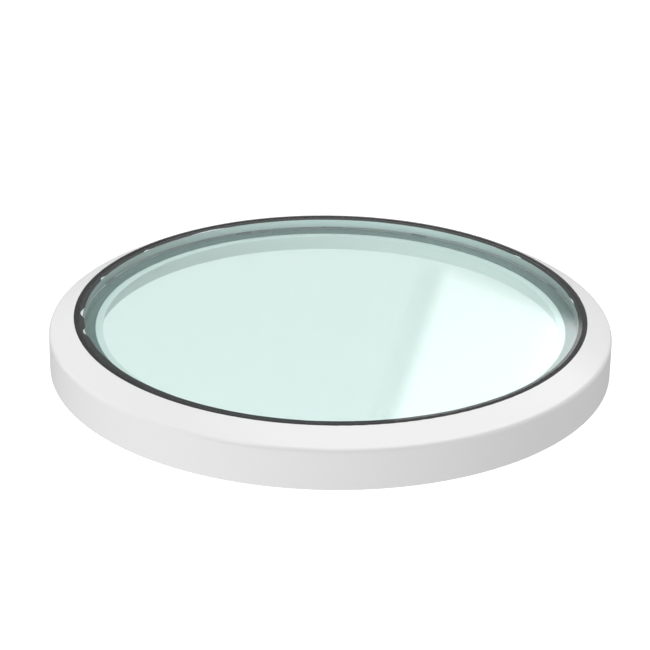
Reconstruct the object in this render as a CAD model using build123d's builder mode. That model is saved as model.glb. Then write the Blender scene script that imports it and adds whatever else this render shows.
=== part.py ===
from build123d import *
import os

os.makedirs("parts", exist_ok=True)

# ---------------------------------------------------------------- sizes (mm)
# Fixed round flat rooflight for a kerb. Z = 0 is the drip edge of the skirt,
# the Z axis is the centre line.

# cover ring: rolled, coated aluminium, with a hooked ring under its inner edge
cover_r = 500.0            # outside of the drip skirt
sheet = 3.0                # wall of both rings
shoulder_z = 70.2          # where skirt and conical band would meet
shoulder_fillet = 10.0
band_in_r = 455.5          # inner edge of the band = glazing pocket wall
band_in_z = 94.5           # sharp corner there; the rounded crest is 0.5 lower
crest_fillet = 0.8
foot_z = 60.4              # the hooked ring stands here
hook_r = 462.0             # small outward hook at its foot

# glass unit
pane_r = 449.0
glass_top = 93.2
outer_pane_t = 6.0
cavity_t = 16.0
ply_t = 4.0
interlayer_t = 0.76
arris = 0.6

# spacer bar
spacer_in_r = 440.0
spacer_out_r = 446.0
spacer_flat_r = 444.5      # the bar's back corners are cut off from here out
butyl_t = 0.4
spacer_wall = 0.5

# weather seal between glass and cover ring
seal_lip_r = 446.6         # how far it laps over the glass
seal_base_z = 82.0
seal_crown_z = 93.9
seal_edge_z = 93.1         # where it meets the band

# inner ring: rolled angle that trims the frame, nose over leg
nose_r = 405.0             # clear daylight opening
leg_in_r = 417.0
leg_out_r = 420.0
leg_bottom = 28.5

# base frame: extruded, rolled, one hollow chamber
seat_z = 42.0              # underside of the flange, over the kerb
plate_t = 3.0
ledge_z = 60.4             # top of the glazing ledge
chamber_in_r = 423.0
web_in_r = 449.0
web_out_r = 452.0
flange_r = 491.0

# bonding of the glass unit
tape_r = (418.0, 424.0)
bead_r = (424.0, 440.0)

# fixings
kerb_hole_pcd_r = 470.0
kerb_hole_r = 3.25
kerb_holes = 12
clip_count = 12
clip_w = 26.0
clip_t = 1.2
clip_screw_r = 477.0
clip_screw_half_pitch = 8.0
screw_r = 2.0

# derived levels
outer_pane_bottom = glass_top - outer_pane_t
inner_pane_top = outer_pane_bottom - cavity_t
ply1_bottom = inner_pane_top - ply_t
ply2_top = ply1_bottom - interlayer_t
inner_pane_bottom = ply2_top - ply_t
plate_top = seat_z + plate_t
ledge_under = ledge_z - plate_t


def corner(sketch, x, y):
    """The vertex of a profile that lies nearest to (x, y)."""
    return sketch.vertices().sort_by_distance((x, y, 0))[0]


# ------------------------------------------------------------ outer cover ring
band_slope = (band_in_z - shoulder_z) / (cover_r - band_in_r)
band_len = ((band_in_z - shoulder_z) ** 2 + (cover_r - band_in_r) ** 2) ** 0.5
drop = sheet * band_len / (cover_r - band_in_r)   # vertical thickness of the band


def band_under(r):
    """Height of the band's underside at radius r."""
    return shoulder_z + (cover_r - r) * band_slope - drop


with BuildPart() as outer_cover_ring:
    with BuildSketch(Plane.XZ) as cover_profile:
        with BuildLine():
            Polyline(
                (cover_r, 0),
                (cover_r, shoulder_z),
                (band_in_r, band_in_z),
                (band_in_r, band_under(band_in_r)),
                (cover_r - sheet, band_under(cover_r - sheet)),
                (cover_r - sheet, 0),
                close=True,
            )
        make_face()
        fillet(corner(cover_profile, cover_r, shoulder_z), shoulder_fillet)
        fillet(
            corner(cover_profile, cover_r - sheet, band_under(cover_r - sheet)),
            shoulder_fillet - sheet,
        )
        fillet(corner(cover_profile, band_in_r, band_in_z), crest_fillet)
        fillet(corner(cover_profile, cover_r, 0), 0.6)
        fillet(corner(cover_profile, cover_r - sheet, 0), 0.6)
    revolve(axis=Axis.Z)
outer_cover_ring.part.label = "outer_cover_ring"

# rolled strip bonded under the band's inner edge: the wall of the glazing
# pocket, with the hook that the clips hold
with BuildPart() as cover_hook_ring:
    with BuildSketch(Plane.XZ) as hook_profile:
        with BuildLine():
            Polyline(
                (band_in_r, band_under(band_in_r)),
                (band_in_r, foot_z),
                (hook_r, foot_z),
                (hook_r, foot_z + 2.0),
                (band_in_r + sheet, foot_z + 2.0),
                (band_in_r + sheet, band_under(band_in_r + sheet)),
                close=True,
            )
        make_face()
        fillet(corner(hook_profile, band_in_r + sheet, foot_z + 2.0), 0.8)
        fillet(corner(hook_profile, hook_r, foot_z + 2.0), 0.5)
    revolve(axis=Axis.Z)
cover_hook_ring.part.label = "cover_hook_ring"

# ----------------------------------------------------------------- base frame
# the nose carries the glass's inner edge, the leg centres the unit in the kerb
with BuildPart() as inner_trim_ring:
    with BuildSketch(Plane.XZ) as trim_profile:
        with BuildLine():
            Polyline(
                (nose_r, ledge_under),
                (nose_r, ledge_z),
                (leg_out_r, ledge_z),
                (leg_out_r, leg_bottom),
                (leg_in_r, leg_bottom),
                (leg_in_r, ledge_under),
                close=True,
            )
        make_face()
        fillet(corner(trim_profile, nose_r, ledge_z), 1.3)
        fillet(corner(trim_profile, nose_r, ledge_under), 1.3)
        fillet(corner(trim_profile, leg_in_r, ledge_under), 1.0)
        fillet(corner(trim_profile, leg_in_r, leg_bottom), 0.8)
        fillet(corner(trim_profile, leg_out_r, leg_bottom), 0.8)
    revolve(axis=Axis.Z)
inner_trim_ring.part.label = "inner_trim_ring"

with BuildPart() as base_frame:
    with BuildSketch(Plane.XZ) as frame_profile:
        with BuildLine():
            Polyline(
                (leg_out_r, ledge_z),
                (web_out_r, ledge_z),
                (web_out_r, plate_top),
                (flange_r, plate_top),
                (flange_r, seat_z),
                (leg_out_r, seat_z),
                close=True,
            )
        make_face()
        fillet(corner(frame_profile, web_out_r, plate_top), 0.8)
        fillet(corner(frame_profile, flange_r, plate_top), 0.8)
    revolve(axis=Axis.Z)
    # the closed chamber over the kerb
    with BuildSketch(Plane.XZ) as chamber_profile:
        with Locations(((chamber_in_r + web_in_r) / 2, (plate_top + ledge_under) / 2)):
            Rectangle(web_in_r - chamber_in_r, ledge_under - plate_top)
        fillet(chamber_profile.vertices(), 0.8)
    revolve(axis=Axis.Z, mode=Mode.SUBTRACT)
    # clearance holes for the screws into the kerb, between the clips
    with Locations(Plane.XY.offset(plate_top)):
        with PolarLocations(kerb_hole_pcd_r, kerb_holes, start_angle=15):
            Hole(kerb_hole_r, depth=plate_t)
    # threaded holes for the clip screws
    with Locations(Plane.XY.offset(plate_top)):
        with PolarLocations(0, clip_count):
            with Locations(
                (clip_screw_r, clip_screw_half_pitch),
                (clip_screw_r, -clip_screw_half_pitch),
            ):
                Hole(screw_r, depth=plate_t)
base_frame.part.label = "base_frame"

with BuildPart() as frame_insulation:
    with BuildSketch(Plane.XZ) as core_profile:
        with Locations(((chamber_in_r + web_in_r) / 2, (plate_top + ledge_under) / 2)):
            Rectangle(web_in_r - chamber_in_r - 0.6, ledge_under - plate_top - 0.6)
        fillet(core_profile.vertices(), 1.0)
    revolve(axis=Axis.Z)
frame_insulation.part.label = "frame_insulation"

# thermal break: keeps the cover ring off the frame's flange
with BuildPart() as isolator_ring:
    with BuildSketch(Plane.XZ):
        with BuildLine():
            Polyline(
                (web_out_r, plate_top + 1.0),
                (web_out_r, foot_z),
                (463.0, foot_z),
                (463.0, plate_top),
                (web_out_r + 1.0, plate_top),
                close=True,
            )
        make_face()
    revolve(axis=Axis.Z)
isolator_ring.part.label = "isolator_ring"

# ----------------------------------------------------------------- glass unit
with BuildPart() as outer_pane:
    with Locations((0, 0, outer_pane_bottom)):
        Cylinder(pane_r, outer_pane_t, align=(Align.CENTER, Align.CENTER, Align.MIN))
    chamfer(outer_pane.edges().filter_by(GeomType.CIRCLE), arris)
outer_pane.part.label = "outer_pane"

with BuildPart() as inner_pane_upper_ply:
    with Locations((0, 0, ply1_bottom)):
        Cylinder(pane_r, ply_t, align=(Align.CENTER, Align.CENTER, Align.MIN))
    chamfer(
        inner_pane_upper_ply.edges().filter_by(GeomType.CIRCLE).sort_by(Axis.Z)[-1],
        arris,
    )
inner_pane_upper_ply.part.label = "inner_pane_upper_ply"

with BuildPart() as pvb_interlayer:
    with Locations((0, 0, ply2_top)):
        Cylinder(pane_r, interlayer_t, align=(Align.CENTER, Align.CENTER, Align.MIN))
pvb_interlayer.part.label = "pvb_interlayer"

with BuildPart() as inner_pane_lower_ply:
    with Locations((0, 0, inner_pane_bottom)):
        Cylinder(pane_r, ply_t, align=(Align.CENTER, Align.CENTER, Align.MIN))
    chamfer(
        inner_pane_lower_ply.edges().filter_by(GeomType.CIRCLE).sort_by(Axis.Z)[0],
        arris,
    )
inner_pane_lower_ply.part.label = "inner_pane_lower_ply"

spacer_bottom = inner_pane_top + butyl_t
spacer_top = outer_pane_bottom - butyl_t
back = spacer_out_r - spacer_flat_r

with BuildPart() as spacer_bar:
    with BuildSketch(Plane.XZ) as bar_profile:
        with BuildLine():
            Polyline(
                (spacer_in_r, spacer_bottom),
                (spacer_in_r, spacer_top),
                (spacer_flat_r, spacer_top),
                (spacer_out_r, spacer_top - back),
                (spacer_out_r, spacer_bottom + back),
                (spacer_flat_r, spacer_bottom),
                close=True,
            )
        make_face()
        fillet(corner(bar_profile, spacer_in_r, spacer_bottom), 0.3)
        fillet(corner(bar_profile, spacer_in_r, spacer_top), 0.3)
    revolve(axis=Axis.Z)
    with BuildSketch(Plane.XZ):
        with BuildLine():
            Polyline(
                (spacer_in_r + spacer_wall, spacer_bottom + spacer_wall),
                (spacer_in_r + spacer_wall, spacer_top - spacer_wall),
                (spacer_flat_r - 0.2, spacer_top - spacer_wall),
                (spacer_out_r - spacer_wall, spacer_top - back - 0.2),
                (spacer_out_r - spacer_wall, spacer_bottom + back + 0.2),
                (spacer_flat_r - 0.2, spacer_bottom + spacer_wall),
                close=True,
            )
        make_face()
    revolve(axis=Axis.Z, mode=Mode.SUBTRACT)
spacer_bar.part.label = "spacer_bar"

# drying beads fill the bar all round, apart from the stretch at its joint
with BuildPart() as spacer_desiccant:
    with BuildSketch(Plane.XZ):
        with Locations(((spacer_in_r + spacer_flat_r) / 2, (spacer_bottom + spacer_top) / 2)):
            Rectangle(3.2, spacer_top - spacer_bottom - 1.4)
    revolve(axis=Axis.Z, revolution_arc=352)
spacer_desiccant.part.label = "spacer_desiccant"

# the key that joins the two ends of the bent bar
with BuildPart() as spacer_key:
    with BuildSketch(Plane.XZ.rotated((0, 0, -6.5))):
        with Locations(((spacer_in_r + spacer_flat_r) / 2, (spacer_bottom + spacer_top) / 2)):
            Rectangle(3.2, spacer_top - spacer_bottom - 1.4)
            Rectangle(1.8, spacer_top - spacer_bottom - 3.4, mode=Mode.SUBTRACT)
    revolve(axis=Axis.Z, revolution_arc=5)
spacer_key.part.label = "spacer_key"

with BuildPart() as butyl_seal_upper:
    with BuildSketch(Plane.XZ):
        with Locations(((spacer_in_r + 0.3 + spacer_flat_r) / 2, outer_pane_bottom - butyl_t / 2)):
            Rectangle(spacer_flat_r - spacer_in_r - 0.3, butyl_t)
    revolve(axis=Axis.Z)
butyl_seal_upper.part.label = "butyl_seal_upper"

with BuildPart() as butyl_seal_lower:
    with BuildSketch(Plane.XZ):
        with Locations(((spacer_in_r + 0.3 + spacer_flat_r) / 2, inner_pane_top + butyl_t / 2)):
            Rectangle(spacer_flat_r - spacer_in_r - 0.3, butyl_t)
    revolve(axis=Axis.Z)
butyl_seal_lower.part.label = "butyl_seal_lower"

# secondary seal behind the spacer bar, out to the edge of the glass
edge_r = pane_r - 0.4
with BuildPart() as edge_seal:
    with BuildSketch(Plane.XZ):
        with BuildLine():
            Polyline(
                (spacer_flat_r, outer_pane_bottom),
                (edge_r - arris, outer_pane_bottom),
                (edge_r, outer_pane_bottom - 0.5),
                (edge_r, inner_pane_top + 0.5),
                (edge_r - arris, inner_pane_top),
                (spacer_flat_r, inner_pane_top),
                (spacer_flat_r, spacer_bottom),
                (spacer_out_r, spacer_bottom + back),
                (spacer_out_r, spacer_top - back),
                (spacer_flat_r, spacer_top),
                close=True,
            )
        make_face()
    revolve(axis=Axis.Z)
edge_seal.part.label = "edge_seal"

# ------------------------------------------------- bedding of the glass unit
with BuildPart() as glazing_tape:
    with BuildSketch(Plane.XZ):
        with Locations((sum(tape_r) / 2, (ledge_z + inner_pane_bottom) / 2)):
            Rectangle(tape_r[1] - tape_r[0], inner_pane_bottom - ledge_z)
    revolve(axis=Axis.Z)
glazing_tape.part.label = "glazing_tape"

with BuildPart() as bonding_bead:
    with BuildSketch(Plane.XZ):
        with Locations((sum(bead_r) / 2, (ledge_z + inner_pane_bottom) / 2)):
            Rectangle(bead_r[1] - bead_r[0], inner_pane_bottom - ledge_z)
    revolve(axis=Axis.Z)
bonding_bead.part.label = "bonding_bead"

# hard packers under the edge of the unit
with BuildPart() as packer:
    with BuildSketch(Plane.XZ.rotated((0, 0, -2))):
        with Locations((444.7, (ledge_z + inner_pane_bottom) / 2)):
            Rectangle(7.0, inner_pane_bottom - ledge_z)
    revolve(axis=Axis.Z, revolution_arc=4)
with BuildPart() as glazing_packers:
    with PolarLocations(0, 8, start_angle=22.5):
        add(packer.part)
glazing_packers.part.label = "glazing_packers"

# packers that centre the unit in its pocket
with BuildPart() as side_packer:
    with BuildSketch(Plane.XZ.rotated((0, 0, -2.5))):
        with Locations(((pane_r + band_in_r) / 2, foot_z + 7.3)):
            Rectangle(band_in_r - pane_r, 14.6)
    revolve(axis=Axis.Z, revolution_arc=5)
with BuildPart() as edge_packers:
    with PolarLocations(0, 8):
        add(side_packer.part)
edge_packers.part.label = "edge_packers"

# foam cord that backs the weather seal
with BuildPart() as backer_cord:
    with BuildSketch(Plane.XZ):
        with Locations(((pane_r + band_in_r) / 2, seal_base_z - 3.2)):
            Circle(3.1)
    revolve(axis=Axis.Z)
backer_cord.part.label = "backer_cord"

# weather seal: fills the gap and laps a little way over the glass
with BuildPart() as weather_seal:
    with BuildSketch(Plane.XZ):
        with BuildLine():
            Polyline(
                (seal_lip_r, glass_top),
                (pane_r, glass_top),
                (pane_r, seal_base_z),
                (band_in_r, seal_base_z),
                (band_in_r, seal_edge_z),
            )
            ThreePointArc(
                (band_in_r, seal_edge_z), (451.5, seal_crown_z), (seal_lip_r, glass_top)
            )
        make_face()
    revolve(axis=Axis.Z)
weather_seal.part.label = "weather_seal"

# ------------------------------------------------------ hold-down of the cover
# folded spring clip: foot on the flange, upright, nose over the cover's hook
with BuildPart() as clip:
    with BuildSketch(Plane.XZ):
        with BuildLine():
            Polyline(
                (484.0, plate_top),
                (466.4, plate_top),
                (466.4, 65.0),
                (461.6, 63.1),
                (461.4, 62.5),
                (460.2, 62.5),
                (460.6, 64.0),
                (466.9, 66.6),
                (467.6, 66.2),
                (467.6, plate_top + clip_t),
                (484.0, plate_top + clip_t),
                close=True,
            )
        make_face()
    extrude(amount=clip_w / 2, both=True)
    with Locations(Plane.XY.offset(plate_top + clip_t)):
        with Locations(
            (clip_screw_r, clip_screw_half_pitch), (clip_screw_r, -clip_screw_half_pitch)
        ):
            Hole(screw_r, depth=clip_t)
with BuildPart() as cover_clips:
    with PolarLocations(0, clip_count):
        add(clip.part)
cover_clips.part.label = "cover_clips"

# low pan-head screws, short enough to stay above the seat
with BuildPart() as screw:
    with BuildSketch(Plane.XZ) as screw_profile:
        with BuildLine():
            Polyline(
                (0, seat_z + 0.2),
                (screw_r, seat_z + 0.2),
                (screw_r, plate_top + clip_t),
                (4.0, plate_top + clip_t),
                (4.0, plate_top + clip_t + 1.4),
                (2.6, plate_top + clip_t + 2.4),
                (0, plate_top + clip_t + 2.4),
                close=True,
            )
        make_face()
    revolve(axis=Axis.Z)
    with BuildSketch(Plane.XY.offset(plate_top + clip_t + 2.4)):
        RegularPolygon(1.3, 6)
    extrude(amount=-1.3, mode=Mode.SUBTRACT)
with BuildPart() as clip_screws:
    with PolarLocations(0, clip_count):
        with Locations(
            (clip_screw_r, clip_screw_half_pitch), (clip_screw_r, -clip_screw_half_pitch)
        ):
            add(screw.part)
clip_screws.part.label = "clip_screws"

# ------------------------------------------------------------ seals to the kerb
with BuildPart() as kerb_seal_inner:
    with BuildSketch(Plane.XZ) as inner_strip:
        with Locations((434.0, seat_z - 1.5)):
            Rectangle(16.0, 3.0)
        fillet(inner_strip.vertices().group_by(Axis.Y)[0], 0.8)
    revolve(axis=Axis.Z)
kerb_seal_inner.part.label = "kerb_seal_inner"

with BuildPart() as kerb_seal_outer:
    with BuildSketch(Plane.XZ) as outer_strip:
        with Locations((483.5, seat_z - 1.5)):
            Rectangle(12.0, 3.0)
        fillet(outer_strip.vertices().group_by(Axis.Y)[0], 0.8)
    revolve(axis=Axis.Z)
kerb_seal_outer.part.label = "kerb_seal_outer"

# ---------------------------------------------------------------------- export
pieces = [
    outer_cover_ring,
    cover_hook_ring,
    inner_trim_ring,
    base_frame,
    frame_insulation,
    isolator_ring,
    outer_pane,
    inner_pane_upper_ply,
    pvb_interlayer,
    inner_pane_lower_ply,
    spacer_bar,
    spacer_desiccant,
    spacer_key,
    butyl_seal_upper,
    butyl_seal_lower,
    edge_seal,
    glazing_tape,
    bonding_bead,
    glazing_packers,
    edge_packers,
    backer_cord,
    weather_seal,
    cover_clips,
    clip_screws,
    kerb_seal_inner,
    kerb_seal_outer,
]
for piece in pieces:
    export_step(piece.part, f"parts/{piece.part.label}.step")
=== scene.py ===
"""Looks of a round, flat, fixed rooflight: white coated cover ring, black weather seal and a clear glass unit."""

import math

import bpy
from mathutils import Matrix, Vector

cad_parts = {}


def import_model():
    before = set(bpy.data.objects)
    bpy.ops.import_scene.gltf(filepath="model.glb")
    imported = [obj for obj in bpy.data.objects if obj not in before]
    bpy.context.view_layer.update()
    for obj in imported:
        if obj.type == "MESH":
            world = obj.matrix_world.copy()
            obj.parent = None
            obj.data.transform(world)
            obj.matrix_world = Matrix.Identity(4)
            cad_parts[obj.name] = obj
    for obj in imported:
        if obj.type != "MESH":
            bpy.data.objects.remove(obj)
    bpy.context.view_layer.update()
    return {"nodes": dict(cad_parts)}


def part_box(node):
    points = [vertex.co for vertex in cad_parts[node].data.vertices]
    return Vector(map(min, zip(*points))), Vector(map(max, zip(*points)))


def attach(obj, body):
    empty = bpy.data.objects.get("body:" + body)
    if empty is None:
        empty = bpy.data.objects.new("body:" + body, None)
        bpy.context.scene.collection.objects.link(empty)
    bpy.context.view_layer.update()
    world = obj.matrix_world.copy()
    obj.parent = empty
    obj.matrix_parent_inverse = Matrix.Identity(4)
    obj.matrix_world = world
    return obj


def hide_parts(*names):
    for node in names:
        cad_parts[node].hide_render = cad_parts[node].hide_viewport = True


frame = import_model()
nodes = frame["nodes"]
scene = bpy.context.scene

MM = 0.001

# ------------------------------------------------------------------ key levels (mm)
GLASS_TOP = 93.2
OUTER_BOTTOM = 87.2
INNER_TOP = 71.2
INNER_BOTTOM = 62.44
PANE_R = 449.0
BOND = 0.05          # how far a pane reaches into what is bonded to it


# ------------------------------------------------------------------ material kit
class Look:
    """A node material with one Principled shader and a few short hands."""

    def __init__(self, name):
        self.mat = bpy.data.materials.new(name)
        self.mat.use_nodes = True
        self.tree = self.mat.node_tree
        self.tree.nodes.clear()
        self.out = self.tree.nodes.new("ShaderNodeOutputMaterial")
        self.bsdf = self.tree.nodes.new("ShaderNodeBsdfPrincipled")
        self.link(self.bsdf.outputs["BSDF"], self.out.inputs["Surface"])
        self.coords = self.tree.nodes.new("ShaderNodeTexCoord").outputs["Object"]

    def link(self, a, b):
        self.tree.links.new(a, b)

    def set(self, **values):
        for key, value in values.items():
            self.bsdf.inputs[key.replace("_", " ")].default_value = value

    def into(self, socket, value):
        if isinstance(value, (int, float, tuple, list)):
            socket.default_value = value
        else:
            self.link(value, socket)

    def math(self, op, *args, clamp=False):
        n = self.tree.nodes.new("ShaderNodeMath")
        n.operation = op
        n.use_clamp = clamp
        for i, a in enumerate(args):
            self.into(n.inputs[i], a)
        return n.outputs[0]

    def remap(self, value, a, b, c, d, smooth=False):
        n = self.tree.nodes.new("ShaderNodeMapRange")
        n.interpolation_type = "SMOOTHSTEP" if smooth else "LINEAR"
        self.into(n.inputs["Value"], value)
        for key, v in (("From Min", a), ("From Max", b), ("To Min", c), ("To Max", d)):
            n.inputs[key].default_value = v
        return n.outputs["Result"]

    def noise(self, scale, detail=2.0, rough=0.5, coords=None, distortion=0.0):
        n = self.tree.nodes.new("ShaderNodeTexNoise")
        self.link(coords or self.coords, n.inputs["Vector"])
        n.inputs["Scale"].default_value = scale
        n.inputs["Detail"].default_value = detail
        n.inputs["Roughness"].default_value = rough
        n.inputs["Distortion"].default_value = distortion
        return n.outputs["Fac"]

    def cells(self, scale, coords=None, feature="F1"):
        n = self.tree.nodes.new("ShaderNodeTexVoronoi")
        n.feature = feature
        self.link(coords or self.coords, n.inputs["Vector"])
        n.inputs["Scale"].default_value = scale
        return n.outputs["Distance"]

    def ramp(self, fac, *stops):
        n = self.tree.nodes.new("ShaderNodeValToRGB")
        self.link(fac, n.inputs["Fac"])
        band = n.color_ramp
        while len(band.elements) < len(stops):
            band.elements.new(0.5)
        for e, (pos, colour) in zip(band.elements, stops):
            e.position = pos
            e.color = (*colour, 1.0)
        return n.outputs["Color"]

    def mix(self, fac, a, b):
        n = self.tree.nodes.new("ShaderNodeMix")
        n.data_type = "RGBA"
        self.into(n.inputs[0], fac)
        self.into(n.inputs[6], (*a, 1.0) if isinstance(a, tuple) else a)
        self.into(n.inputs[7], (*b, 1.0) if isinstance(b, tuple) else b)
        return n.outputs[2]

    def split(self, vector):
        n = self.tree.nodes.new("ShaderNodeSeparateXYZ")
        self.link(vector, n.inputs[0])
        return n.outputs[0], n.outputs[1], n.outputs[2]

    def join(self, x, y, z):
        n = self.tree.nodes.new("ShaderNodeCombineXYZ")
        for i, v in enumerate((x, y, z)):
            self.into(n.inputs[i], v)
        return n.outputs[0]

    def polar(self):
        """(radius, angle in turns of a radian, height) about the centre line, in metres and radians."""
        x, y, z = self.split(self.coords)
        r = self.math("SQRT", self.math("ADD", self.math("MULTIPLY", x, x), self.math("MULTIPLY", y, y)))
        return r, self.math("ARCTAN2", y, x), z

    def along(self, stretch=0.02):
        """Coordinates that run along a ring's length: features are drawn out round the ring."""
        x, y, z = self.split(self.coords)
        r, a, _ = self.polar()
        # unit vector times a short length keeps the pattern seamless round the ring
        ux = self.math("MULTIPLY", self.math("COSINE", a), stretch)
        uy = self.math("MULTIPLY", self.math("SINE", a), stretch)
        return self.join(self.math("ADD", r, ux), self.math("ADD", z, uy), self.math("SUBTRACT", ux, uy))

    def bump(self, *layers):
        """Layers of (height output, distance in metres, strength)."""
        last = None
        for height, distance, strength in layers:
            n = self.tree.nodes.new("ShaderNodeBump")
            n.inputs["Strength"].default_value = strength
            n.inputs["Distance"].default_value = distance
            self.link(height, n.inputs["Height"])
            if last is not None:
                self.link(last, n.inputs["Normal"])
            last = n.outputs["Normal"]
        self.link(last, self.bsdf.inputs["Normal"])

    def colour(self, out):
        self.link(out, self.bsdf.inputs["Base Color"])

    def rough(self, out):
        self.link(out, self.bsdf.inputs["Roughness"])


def white_coating(name, level, cast=(1.0, 1.0, 1.0)):
    """Polyester powder coat: smooth and even, with very faint orange peel and tone change."""

    # cast tints the white; where it is not plain white it is painted light, the green of light that has come through
    # the glass
    def white(k):
        return tuple(level * k * c for c in cast)

    m = Look(name)
    tone = m.noise(5.0, 1.0)
    fine = m.noise(34.0, 1.0)
    m.colour(
        m.mix(
            m.remap(fine, 0.3, 0.7, 0.0, 0.10),
            m.ramp(tone, (0.2, white(0.994)), (0.8, white(1.004))),
            white(0.990),
        )
    )
    m.rough(m.remap(m.noise(12.0, 1.0), 0.25, 0.75, 0.28, 0.30))
    m.bump((m.noise(60.0, 1.0), 0.00002, 0.10))
    m.set(IOR=1.5)
    return m.mat


def black_seal():
    """Extruded black rubber: faint die lines along its length, dusty bloom in places."""
    m = Look("black_seal")
    lines = m.noise(900.0, 3.0, 0.6, coords=m.along(0.012))
    bloom = m.noise(30.0, 4.0, 0.6)
    m.colour(m.ramp(bloom, (0.3, (0.018, 0.019, 0.019)), (0.75, (0.027, 0.028, 0.028))))
    m.rough(m.remap(lines, 0.3, 0.7, 0.55, 0.68))
    m.bump((lines, 0.00008, 0.35), (m.noise(700.0, 2.0), 0.00003, 0.3))
    m.set(IOR=1.5, Specular_IOR_Level=0.25)
    return m.mat


def glass(name, tint, edge_tint, waviness):
    """Float glass: clear face, deeper green and a fine frost where the edge is ground."""
    m = Look(name)
    r, _, _ = m.polar()
    rim = m.remap(r, (PANE_R - 0.75) * MM, (PANE_R - 0.35) * MM, 0.0, 1.0, smooth=True)
    cast = m.noise(3.0, 1.0)
    face = m.ramp(cast, (0.3, tuple(c * 0.996 for c in tint)), (0.7, tint))
    m.colour(m.mix(rim, face, edge_tint))
    m.rough(m.math("MULTIPLY", rim, 0.32))
    m.bump((m.noise(5.0, 1.0, 0.4), waviness, 1.0))
    m.set(IOR=1.52)
    m.bsdf.inputs["Transmission Weight"].default_value = 1.0
    return m.mat


def spacer_metal():
    """Satin bar of the glass unit: drawn lines along its length and two rows of tiny breathing slots; its teal cast is
    painted light and its bright top edge a painted glint.
    """
    m = Look("spacer_metal")
    r, a, z = m.polar()
    lines = m.noise(1400.0, 2.0, 0.6, coords=m.along(0.010))
    # painted light: the teal cast of the bar's colours stands in for light tinted by the glass above it
    m.colour(
        m.mix(
            m.remap(m.noise(55.0, 3.0), 0.3, 0.7, 0.0, 1.0),
            m.ramp(lines, (0.25, (0.405, 0.53, 0.51)), (0.8, (0.465, 0.59, 0.57))),
            (0.435, 0.56, 0.54),
        )
    )
    m.rough(m.remap(lines, 0.2, 0.8, 0.34, 0.48))
    # slots: 1.5 mm long, every 4.5 mm, in two rows 4 mm apart
    turn = m.math("MULTIPLY", a, 440.0 / 4.5)
    phase = m.math("ABSOLUTE", m.math("SUBTRACT", m.math("FRACT", turn), 0.5))
    length = m.remap(phase, 0.15, 0.19, 1.0, 0.0)
    rows = m.math("ABSOLUTE", m.math("SUBTRACT", m.math("ABSOLUTE", m.math("SUBTRACT", z, 0.0792)), 0.0020))
    width = m.remap(rows, 0.0002, 0.00032, 1.0, 0.0)
    inner = m.remap(r, 0.4402, 0.4404, 1.0, 0.0)
    slot = m.math("MULTIPLY", m.math("MULTIPLY", length, width), inner)
    m.bump((m.math("SUBTRACT", 1.0, slot), 0.0003, 0.6), (lines, 0.00003, 0.4))
    # painted glint: the crimped top edge is coloured near white with little metalness, brighter than the bar, to stand
    # in for sparkles
    edge = m.remap(z, 0.08655, 0.08672, 0.0, 1.0)
    body = m.bsdf.inputs["Base Color"].links[0].from_socket
    m.colour(m.mix(edge, body, (0.90, 0.93, 0.92)))
    m.link(m.remap(edge, 0.0, 1.0, 1.0, 0.15), m.bsdf.inputs["Metallic"])
    return m.mat


def black_butyl():
    """Soft black sealant: slow thickness waves, matt."""
    m = Look("black_butyl")
    # painted light: the faint green cast of the black stands in for light tinted by the glass
    m.colour(m.ramp(m.noise(60.0, 3.0), (0.3, (0.006, 0.012, 0.011)), (0.75, (0.010, 0.018, 0.017))))
    m.rough(m.remap(m.noise(90.0, 2.0), 0.3, 0.7, 0.42, 0.58))
    m.bump((m.noise(140.0, 2.0), 0.00025, 0.5))
    m.set(IOR=1.5, Specular_IOR_Level=0.1)
    return m.mat


def bonding(name, dark, light):
    """Closed-cell glazing tape or silicone bead under the glass: fine pores, slow tone change."""
    m = Look(name)
    pores = m.cells(900.0)
    m.colour(m.ramp(m.noise(80.0, 4.0), (0.3, dark), (0.75, light)))
    m.rough(m.remap(pores, 0.0, 0.6, 0.6, 0.78))
    m.bump((pores, 0.0001, 0.4))
    return m.mat


def foam(name, dark, light, scale):
    """Cut foam: open pores and a slow tone change."""
    m = Look(name)
    pores = m.cells(scale)
    m.colour(m.mix(m.remap(pores, 0.1, 0.6, 0.0, 1.0), dark, light))
    m.rough(m.remap(m.noise(60.0, 3.0), 0.3, 0.7, 0.80, 0.94))
    m.bump((pores, 0.0006, 0.7), (m.noise(120.0, 3.0), 0.0004, 0.4))
    return m.mat


def moulded(name, dark, light, rough_a, rough_b):
    """Moulded or extruded plastic: fine grain with a slow tone change."""
    m = Look(name)
    m.colour(m.ramp(m.noise(35.0, 3.0), (0.3, dark), (0.75, light)))
    m.rough(m.remap(m.noise(180.0, 2.0), 0.3, 0.7, rough_a, rough_b))
    m.bump((m.noise(800.0, 2.0), 0.00005, 0.4))
    return m.mat


def steel(name, base, rough_a, rough_b, scale):
    """Rolled or turned stainless steel."""
    m = Look(name)
    grain = m.noise(scale, 3.0, 0.6)
    m.colour(m.ramp(grain, (0.3, tuple(c * 0.92 for c in base)), (0.75, base)))
    m.rough(m.remap(m.noise(90.0, 3.0), 0.3, 0.7, rough_a, rough_b))
    m.bump((grain, 0.00004, 0.4))
    m.set(Metallic=1.0)
    return m.mat


def desiccant():
    """Drying beads, about a millimetre each."""
    m = Look("desiccant")
    beads = m.cells(900.0)
    m.colour(m.mix(m.remap(beads, 0.0, 0.6, 0.0, 1.0), (0.74, 0.70, 0.62), (0.42, 0.39, 0.33)))
    m.rough(m.remap(beads, 0.0, 0.6, 0.7, 0.9))
    m.bump((m.math("SUBTRACT", 1.0, beads), 0.0008, 0.9))
    return m.mat


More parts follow.
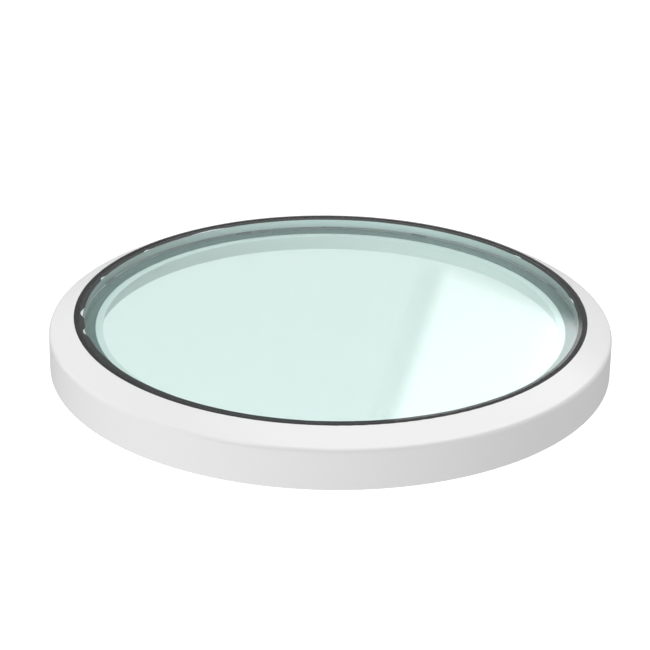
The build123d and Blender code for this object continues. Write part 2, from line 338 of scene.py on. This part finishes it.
LOOKS = {
    "white_coating": white_coating("white_coating", 0.72),
    # painted light: a brighter copy of the white coat with a green cast, standing in for the light the glass lets
    # through onto the frame under it
    "frame_coating_painted_glass_light": white_coating("frame_coating_painted_glass_light", 0.90, (0.93, 1.0, 0.985)),
    "clear_glass": glass("clear_glass", (0.905, 0.986, 0.967), (0.30, 0.72, 0.58), 0.00001),
    "inner_glass": glass("inner_glass", (0.845, 0.974, 0.944), (0.28, 0.70, 0.56), 0.000008),
    "interlayer": moulded("interlayer", (0.80, 0.83, 0.82), (0.84, 0.87, 0.86), 0.15, 0.2),
    "black_seal": black_seal(),
    "black_butyl": black_butyl(),
    # painted light: the teal of these near-black colours stands in for light tinted by the glass
    "dark_bonding": bonding("dark_bonding", (0.022, 0.098, 0.086), (0.028, 0.118, 0.104)),
    "spacer_metal": spacer_metal(),
    "desiccant": desiccant(),
    # painted light: teal-tinted like light through the glass, and made lighter to offset the shade in their gap
    "packer_plastic": moulded("packer_plastic", (0.080, 0.160, 0.160), (0.095, 0.185, 0.185), 0.35, 0.45),
    "foam_cord": foam("foam_cord", (0.30, 0.30, 0.29), (0.55, 0.55, 0.53), 1100.0),
    "foam_core": foam("foam_core", (0.60, 0.58, 0.50), (0.80, 0.78, 0.70), 700.0),
    "isolator": moulded("isolator", (0.030, 0.031, 0.032), (0.045, 0.046, 0.047), 0.5, 0.62),
    "clip_steel": steel("clip_steel", (0.66, 0.65, 0.63), 0.24, 0.34, 500.0),
    "screw_steel": steel("screw_steel", (0.72, 0.71, 0.69), 0.18, 0.28, 900.0),
    "kerb_foam": foam("kerb_foam", (0.018, 0.018, 0.019), (0.042, 0.042, 0.043), 900.0),
}

NODE_LOOK = {
    "outer_cover_ring": "white_coating",
    "cover_hook_ring": "white_coating",
    "inner_trim_ring": "frame_coating_painted_glass_light",
    "base_frame": "frame_coating_painted_glass_light",
    "frame_insulation": "foam_core",
    "isolator_ring": "isolator",
    "outer_pane": "clear_glass",
    "inner_pane_upper_ply": "inner_glass",
    "pvb_interlayer": "interlayer",
    "inner_pane_lower_ply": "inner_glass",
    "spacer_bar": "spacer_metal",
    "spacer_desiccant": "desiccant",
    "spacer_key": "clip_steel",
    "butyl_seal_upper": "black_butyl",
    "butyl_seal_lower": "black_butyl",
    "edge_seal": "black_butyl",
    "glazing_tape": "dark_bonding",
    "bonding_bead": "dark_bonding",
    "glazing_packers": "packer_plastic",
    "edge_packers": "packer_plastic",
    "backer_cord": "foam_cord",
    "weather_seal": "black_seal",
    "cover_clips": "clip_steel",
    "clip_screws": "screw_steel",
    "kerb_seal_inner": "kerb_foam",
    "kerb_seal_outer": "kerb_foam",
}
for name, look in NODE_LOOK.items():
    obj = nodes[name]
    if not obj.material_slots:
        obj.data.materials.append(LOOKS[look])
    for s in obj.material_slots:
        s.material = LOOKS[look]


# ------------------------------------------------------------------ lathe kit
def lathe(name, profile, segments=360, sharp_deg=30.0, radius_of=None):
    """Closed ring or disc turned about the centre line. profile is (r, z) in mm, anticlockwise as seen from -Y.
    A point at r = 0 is one vertex. radius_of(angle, i, r) may move a point's radius."""
    verts, rings = [], []
    for i, (r, z) in enumerate(profile):
        if r == 0:
            rings.append([len(verts)])
            verts.append((0.0, 0.0, z * MM))
        else:
            start = len(verts)
            for k in range(segments):
                a = 2 * math.pi * k / segments
                rr = (radius_of(a, i, r) if radius_of else r) * MM
                verts.append((rr * math.cos(a), rr * math.sin(a), z * MM))
            rings.append(list(range(start, start + segments)))
    faces = []
    n = len(profile)
    for i in range(n):
        a, b = rings[i], rings[(i + 1) % n]
        if len(a) == 1 and len(b) == 1:
            continue
        for k in range(segments):
            j = (k + 1) % segments
            if len(a) == 1:
                faces.append((a[0], b[j], b[k]))
            elif len(b) == 1:
                faces.append((a[k], a[j], b[0]))
            else:
                faces.append((a[k], a[j], b[j], b[k]))
    mesh = bpy.data.meshes.new(name)
    mesh.from_pydata(verts, [], faces)
    mesh.validate()
    for p in mesh.polygons:
        p.use_smooth = True
    mesh.update()
    obj = bpy.data.objects.new(name, mesh)
    scene.collection.objects.link(obj)
    # crease the corners of the profile
    limit = math.radians(sharp_deg)
    mesh.set_sharp_from_angle(angle=limit)
    return obj


def dress(obj, look, slot, *replaced):
    obj.data.materials.append(LOOKS[look])
    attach(obj, "root")
    if replaced:
        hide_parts(*replaced)
    return obj


# ------------------------------------------------------------------ glass unit
def pane_profile(z0, z1, arris_low, arris_high):
    """Half section of a round pane with ground arrises."""
    pts = [(0, z0)]
    pts += [(PANE_R - arris_low, z0), (PANE_R, z0 + arris_low)] if arris_low else [(PANE_R, z0)]
    pts += [(PANE_R, z1 - arris_high), (PANE_R - arris_high, z1)] if arris_high else [(PANE_R, z1)]
    pts += [(0, z1)]
    return pts


outer_glass = lathe("outer_glass", pane_profile(OUTER_BOTTOM - BOND, GLASS_TOP, 0.6, 0.6), 720)
dress(outer_glass, "clear_glass", "clear_glass", "outer_pane")

laminated = lathe(
    "laminated_glass", pane_profile(INNER_BOTTOM - BOND, INNER_TOP + BOND, 0.6, 0.6), 720
)
dress(
    laminated,
    "inner_glass",
    "clear_glass",
    "inner_pane_upper_ply",
    "pvb_interlayer",
    "inner_pane_lower_ply",
)


# the panes let the studio light reach what lies under them
for pane in (outer_glass, laminated):
    pane.visible_shadow = False
    pane.visible_diffuse = False
laminated.visible_glossy = False


# ------------------------------------------------------------------ sealant under the outer pane
# pressed out unevenly past the spacer bar's inner face, as the photo shows: (angle in degrees, radius of its edge in mm)
PRESSED_OUT = [
    (-180, 438.0),
    (-165, 436.4),
    (-150, 434.4),
    (-130, 433.8),
    (-110, 433.8),
    (-90, 434.6),
    (-75, 435.6),
    (-60, 437.2),
    (-45, 438.6),
    (-30, 439.5),
    (0, 439.8),
    (135, 439.7),
    (165, 438.8),
    (180, 438.0),
]
# (angle in degrees, half length in degrees, how far the edge draws back in mm): where the gunned line runs thin
# where the line draws back it bares the spacer bar's top edge and its painted glint
THIN_SPOTS = [
    (-177.3, 3.2, 6.5),
    (-166.5, 2.8, 6.6),
    (162.0, 1.6, 4.7),
    (142.3, 1.3, 3.4),
    (122.5, 5.6, 3.9),
    (37.0, 1.8, 3.0),
    (8.0, 2.0, 2.0),
]


def sealant_edge(angle, i, r):
    """Inner edge of the sealant line: long slow waves, drawn back at the thin spots."""
    if r > 442.0:
        return r
    turn = (math.degrees(angle) + 180.0) % 360.0 - 180.0
    for (a0, r0), (a1, r1) in zip(PRESSED_OUT, PRESSED_OUT[1:]):
        if a0 <= turn <= a1:
            t = (turn - a0) / (a1 - a0)
            r += r0 + (r1 - r0) * t * t * (3 - 2 * t) - 437.2
            break
    out = 0.14 * math.sin(23 * angle + 1.1) + 0.10 * math.sin(57 * angle + 0.4) + 0.06 * math.sin(131 * angle)
    for centre, half, depth in THIN_SPOTS:
        off = (math.degrees(angle) - centre + 180.0) % 360.0 - 180.0
        t = abs(off) / half
        if t < 1.0:
            out += depth * (1.0 - t * t) ** 1.5
    return r + max(out, -0.1)


low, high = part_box("butyl_seal_upper")
butyl = lathe(
    "upper_sealant_line",
    [
        (437.2, low[2] / MM),
        (444.5, low[2] / MM),
        (444.5, high[2] / MM),
        (437.2, high[2] / MM),
        (437.05, (low[2] + high[2]) / 2 / MM),
    ],
    1440,
    radius_of=sealant_edge,
)
dress(butyl, "black_butyl", "black_butyl", "butyl_seal_upper")


# ------------------------------------------------------------------ studio
def world():
    w = bpy.data.worlds.new("studio")
    scene.world = w
    w.use_nodes = True
    t = w.node_tree
    t.nodes.clear()
    out = t.nodes.new("ShaderNodeOutputWorld")
    bg = t.nodes.new("ShaderNodeBackground")
    t.links.new(bg.outputs[0], out.inputs[0])
    co = t.nodes.new("ShaderNodeTexCoord").outputs["Generated"]
    sep = t.nodes.new("ShaderNodeSeparateXYZ")
    t.links.new(co, sep.inputs[0])

    def m(op, a, b=None, clamp=False):
        n = t.nodes.new("ShaderNodeMath")
        n.operation = op
        n.use_clamp = clamp
        for i, v in enumerate((a, b)):
            if v is None:
                continue
            if isinstance(v, (int, float)):
                n.inputs[i].default_value = v
            else:
                t.links.new(v, n.inputs[i])
        return n.outputs[0]

    def step(v, a, b, c, d):
        n = t.nodes.new("ShaderNodeMapRange")
        n.interpolation_type = "SMOOTHSTEP"
        t.links.new(v, n.inputs["Value"])
        for key, x in (("From Min", a), ("From Max", b), ("To Min", c), ("To Max", d)):
            n.inputs[key].default_value = x
        return n.outputs["Result"]

    x, y, z = sep.outputs
    side = step(x, -0.893, -0.493, 1.71, 0.284)   # bright wall on the left
    behind = step(y, 0.50, 0.84, 0.0, 1.0)        # an even, calmer wall behind the object
    wall = step(z, 0.35, 0.46, 0.58, 0.43)
    high = m("ADD", m("MULTIPLY", z, 0.902), m("ADD", m("MULTIPLY", x, 0.309), m("MULTIPLY", y, 0.30)))
    top = step(high, 0.74, 0.86, 0.0, 2.53)       # large soft light high on the right
    gap = m("ADD", m("MULTIPLY", y, 0.6), m("MULTIPLY", z, 0.8))
    top = m("MULTIPLY", top, step(gap, 0.955, 0.985, 1.0, 0.0))
    front = m("ADD", m("MULTIPLY", x, -0.24), m("MULTIPLY", y, -0.97))
    low = step(front, -0.40, 0.95, 0.42, 1.60)    # light that comes back up off the ground
    above = step(z, -0.01, 0.01, 0.0, 1.0)
    round_ = m("ADD", m("MULTIPLY", side, m("SUBTRACT", 1.0, behind)), m("MULTIPLY", behind, wall))
    upper = m("ADD", round_, top)
    level = m("ADD", m("MULTIPLY", upper, above), m("MULTIPLY", low, m("SUBTRACT", 1.0, above)))
    t.links.new(level, bg.inputs["Strength"])
    bg.inputs["Color"].default_value = (1.0, 1.0, 1.0, 1.0)


world()


def floor():
    """Plain white floor, lit evenly by itself so it stays white right up to the object and under the glass."""
    size = 30.0
    mesh = bpy.data.meshes.new("floor")
    mesh.from_pydata(
        [(-size, -size, 0), (size, -size, 0), (size, size, 0), (-size, size, 0)], [], [(0, 1, 2, 3)]
    )
    obj = bpy.data.objects.new("floor", mesh)
    scene.collection.objects.link(obj)
    obj.location.z = -0.0002
    obj.visible_diffuse = False
    obj.visible_glossy = False
    mat = bpy.data.materials.new("floor")
    mat.use_nodes = True
    b = mat.node_tree.nodes["Principled BSDF"]
    b.inputs["Base Color"].default_value = (0.03, 0.03, 0.03, 1)
    b.inputs["Roughness"].default_value = 1.0
    b.inputs["Specular IOR Level"].default_value = 0.0
    b.inputs["Emission Color"].default_value = (1, 1, 1, 1)
    b.inputs["Emission Strength"].default_value = 1.17
    mesh.materials.append(mat)


floor()


def glow_panel(name, corner, u_vec, v_vec, levels, hood, edge):
    """A lit panel out of the camera's sight. levels are its brightness at the corner, how much it grows per metre along
    each side and how much brighter it is past half a metre;
    hood is (width, brightness) of the dull frame along its first side, edge the width of its soft border in metres."""
    u_len, v_len = Vector(u_vec).length, Vector(v_vec).length
    u_hat, v_hat = Vector(u_vec) / u_len, Vector(v_vec) / v_len
    start = Vector(corner) - u_hat * hood[0]
    mesh = bpy.data.meshes.new(name)
    end = Vector(corner) + Vector(u_vec)
    mesh.from_pydata([start, end, end + Vector(v_vec), start + Vector(v_vec)], [], [(0, 1, 2, 3)])
    uv = mesh.uv_layers.new(name="panel")
    for i, c in enumerate(((-hood[0], 0), (u_len, 0), (u_len, v_len), (-hood[0], v_len))):
        uv.data[i].uv = c
    obj = bpy.data.objects.new(name, mesh)
    scene.collection.objects.link(obj)
    mat = bpy.data.materials.new(name)
    mat.use_nodes = True
    t = mat.node_tree
    t.nodes.clear()
    out = t.nodes.new("ShaderNodeOutputMaterial")
    em = t.nodes.new("ShaderNodeEmission")
    clear = t.nodes.new("ShaderNodeBsdfTransparent")
    mix = t.nodes.new("ShaderNodeMixShader")
    t.links.new(clear.outputs[0], mix.inputs[1])
    t.links.new(em.outputs[0], mix.inputs[2])
    t.links.new(mix.outputs[0], out.inputs["Surface"])
    sep = t.nodes.new("ShaderNodeSeparateXYZ")
    t.links.new(t.nodes.new("ShaderNodeUVMap").outputs[0], sep.inputs[0])
    u, v = sep.outputs[0], sep.outputs[1]

    def step(x, a, b, c, d):
        n = t.nodes.new("ShaderNodeMapRange")
        n.interpolation_type = "SMOOTHSTEP"
        t.links.new(x, n.inputs["Value"])
        for key, q in (("From Min", a), ("From Max", b), ("To Min", c), ("To Max", d)):
            n.inputs[key].default_value = q
        return n.outputs["Result"]

    def m(op, a, b):
        n = t.nodes.new("ShaderNodeMath")
        n.operation = op
        for i, q in enumerate((a, b)):
            if isinstance(q, (int, float)):
                n.inputs[i].default_value = q
            else:
                t.links.new(q, n.inputs[i])
        return n.outputs[0]

    lit = step(u, -edge * 0.6, edge * 0.6, 0.0, 1.0)
    grow = m("ADD", levels[0], m("ADD", m("MULTIPLY", u, levels[1]), m("MULTIPLY", v, levels[2])))
    glow = m("ADD", m("MULTIPLY", lit, grow), m("MULTIPLY", m("SUBTRACT", 1.0, lit), hood[1]))
    glow = m("ADD", glow, step(u, 0.30, 0.52, 0.0, levels[3]))
    t.links.new(glow, em.inputs["Strength"])
    cover = m(
        "MULTIPLY",
        m("MULTIPLY", step(u, -hood[0], -hood[0] + edge, 0.0, 1.0), step(u, u_len - 0.25, u_len, 1.0, 0.0)),
        m("MULTIPLY", step(v, 0.0, edge * 1.1, 0.0, 1.0), step(v, v_len - 0.3, v_len, 1.0, 0.0)),
    )
    t.links.new(cover, mix.inputs[0])
    mesh.materials.append(mat)
    obj.visible_camera = False
    obj.visible_shadow = False
    return obj


def toward(az, el, dist, centre=(0, 0, 0.09)):
    """A point seen from the object's middle: az degrees right of +Y, el above the horizon."""
    a, e = math.radians(az), math.radians(el)
    return Vector(centre) + dist * Vector((math.sin(a) * math.cos(e), math.cos(a) * math.cos(e), math.sin(e)))


# large softbox behind on the right, mirrored in the glass
glow_panel(
    "softbox",
    (0.366, 2.8, 1.165),
    (0.95, 0.0, 0.40),
    (-0.47, 0.0, 1.70),
    (1.02, 0.60, 0.47, 0.8),
    (0.10, 0.37),
    0.055,
)


def area(name, az, el, dist, size, power):
    data = bpy.data.lights.new(name, "AREA")
    data.shape = "RECTANGLE"
    data.size, data.size_y = size
    data.energy = power
    obj = bpy.data.objects.new(name, data)
    scene.collection.objects.link(obj)
    obj.location = toward(az, el, dist)
    obj.rotation_mode = "QUATERNION"
    obj.rotation_quaternion = (obj.location - Vector((0, 0, 0.09))).to_track_quat("Z", "Y")
    obj.visible_camera = False
    return obj


area("key", 180 + 44, 48, 4.0, (0.7, 0.3), 20.0)

# ------------------------------------------------------------------ camera
FOV_LENS = 128.08
TX, TZ, D, ELEV, ROLL = -0.00985, 0.0641, 4.1325, math.radians(24.36), math.radians(0.80)
fwd = Vector((0, math.cos(ELEV), -math.sin(ELEV)))
right = Vector((1, 0, 0))
up = right.cross(fwd)
r = right * math.cos(ROLL) + up * math.sin(ROLL)
u = -right * math.sin(ROLL) + up * math.cos(ROLL)
loc = Vector((TX, 0, TZ)) - fwd * D
cam_data = bpy.data.cameras.new("camera")
cam_data.lens = FOV_LENS
cam_data.sensor_width = 36.0
cam_data.clip_start, cam_data.clip_end = 0.05, 100.0
cam = bpy.data.objects.new("camera", cam_data)
scene.collection.objects.link(cam)
cam.matrix_world = Matrix(
    (
        (r.x, u.x, -fwd.x, loc.x),
        (r.y, u.y, -fwd.y, loc.y),
        (r.z, u.z, -fwd.z, loc.z),
        (0, 0, 0, 1),
    )
)
scene.camera = cam
scene.view_settings.view_transform = "Standard"

# ------------------------------------------------------------------ hand over
bpy.context.view_layer.update()
